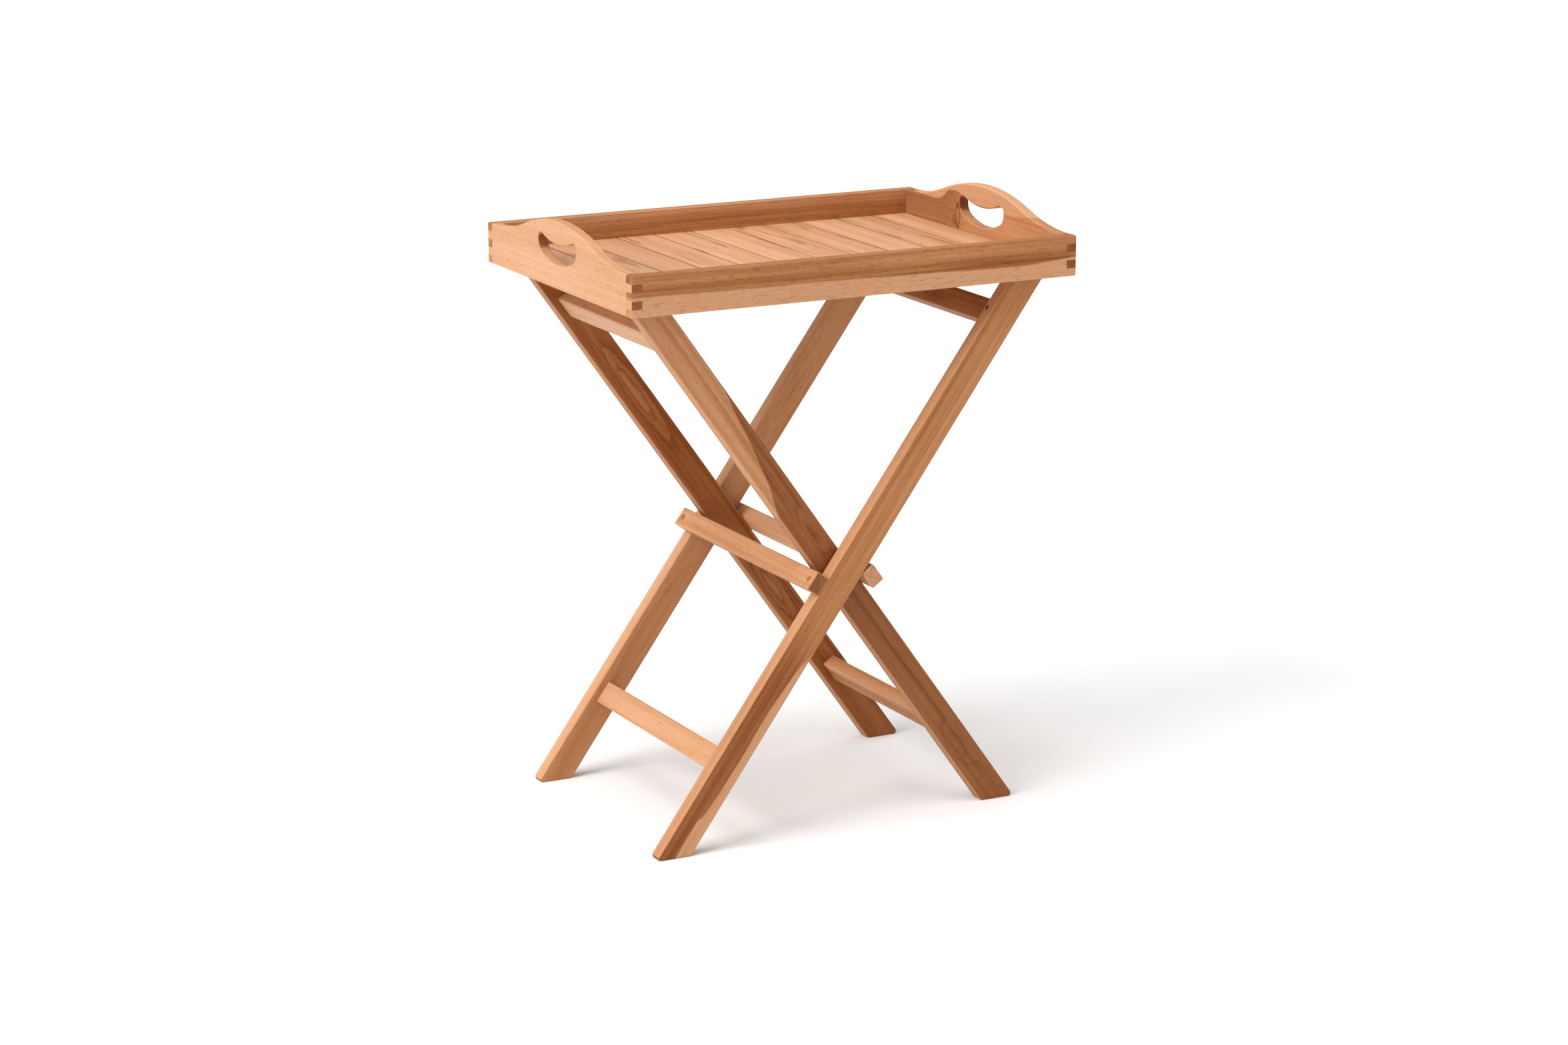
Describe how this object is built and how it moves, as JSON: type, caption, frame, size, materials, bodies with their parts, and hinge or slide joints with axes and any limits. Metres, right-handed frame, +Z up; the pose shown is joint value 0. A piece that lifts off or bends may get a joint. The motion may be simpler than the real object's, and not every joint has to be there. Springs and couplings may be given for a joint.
{
  "type": "folding tray table",
  "caption": "Wooden tray with two cut-out handles resting on a folding cross-legged stand, used as a side or serving table.",
  "frame": {"origin": "on the floor under the middle of the tray", "axes": "+Z up, +X along the tray's long side, +Y from the tray's front board to its back board"},
  "size_m": [0.6, 0.412, 0.754],
  "materials": {
    "leg_wood": "sanded, oiled teak",
    "rail_wood": "sanded, oiled teak",
    "tray_wood": "sanded, oiled teak",
    "floor_wood": "sanded, oiled teak",
    "plug_wood": "sanded teak, end grain",
    "steel": "satin",
    "brass": "satin",
    "spacer": "matte"
  },
  "bodies": {
    "outer_frame": {"outer_leg_front": "leg_wood", "outer_leg_back": "leg_wood", "outer_top_rail": "rail_wood", "outer_lower_rail": "rail_wood", "outer_stop_bar": "rail_wood", "outer_stop_bar_screws": "steel", "outer_stop_bar_plugs": "plug_wood", "outer_rail_dowels": "plug_wood", "pivot_pin_front": "steel", "pivot_pin_back": "steel"},
    "inner_frame": {"inner_leg_front": "leg_wood", "inner_leg_back": "leg_wood", "inner_top_rail": "rail_wood", "inner_lower_rail": "rail_wood", "inner_stop_bar": "rail_wood", "inner_stop_bar_screws": "steel", "inner_stop_bar_plugs": "plug_wood", "inner_rail_dowels": "plug_wood", "pivot_bushes": "brass", "pivot_spacers": "spacer"},
    "tray": {"tray_front_board": "tray_wood", "tray_back_board": "tray_wood", "tray_left_handle_board": "tray_wood", "tray_right_handle_board": "tray_wood", "tray_slat_01": "floor_wood", "tray_slat_02": "floor_wood", "tray_slat_03": "floor_wood", "tray_slat_04": "floor_wood", "tray_slat_05": "floor_wood", "tray_slat_06": "floor_wood", "tray_slat_07": "floor_wood", "tray_slat_08": "floor_wood", "tray_slat_09": "floor_wood", "tray_slat_10": "floor_wood", "tray_slat_11": "floor_wood", "tray_batten_front": "rail_wood", "tray_batten_back": "rail_wood", "tray_batten_screws": "brass"}
  },
  "joints": [
    {"name": "stand_fold", "type": "hinge", "parent": "outer_frame", "child": "inner_frame", "pos_m": [-0.004, 0, 0.324], "axis": [0, 1, 0], "range_deg": [0, 65]},
    {"name": "tray_lift", "type": "slide", "parent": "outer_frame", "child": "tray", "axis": [0, 0, 1], "range_m": [0, 0.4]}
  ],
  "couplings": [
    {"joint": "tray_lift", "follows": "stand_fold", "m_per_rad": 0.35}
  ]
}
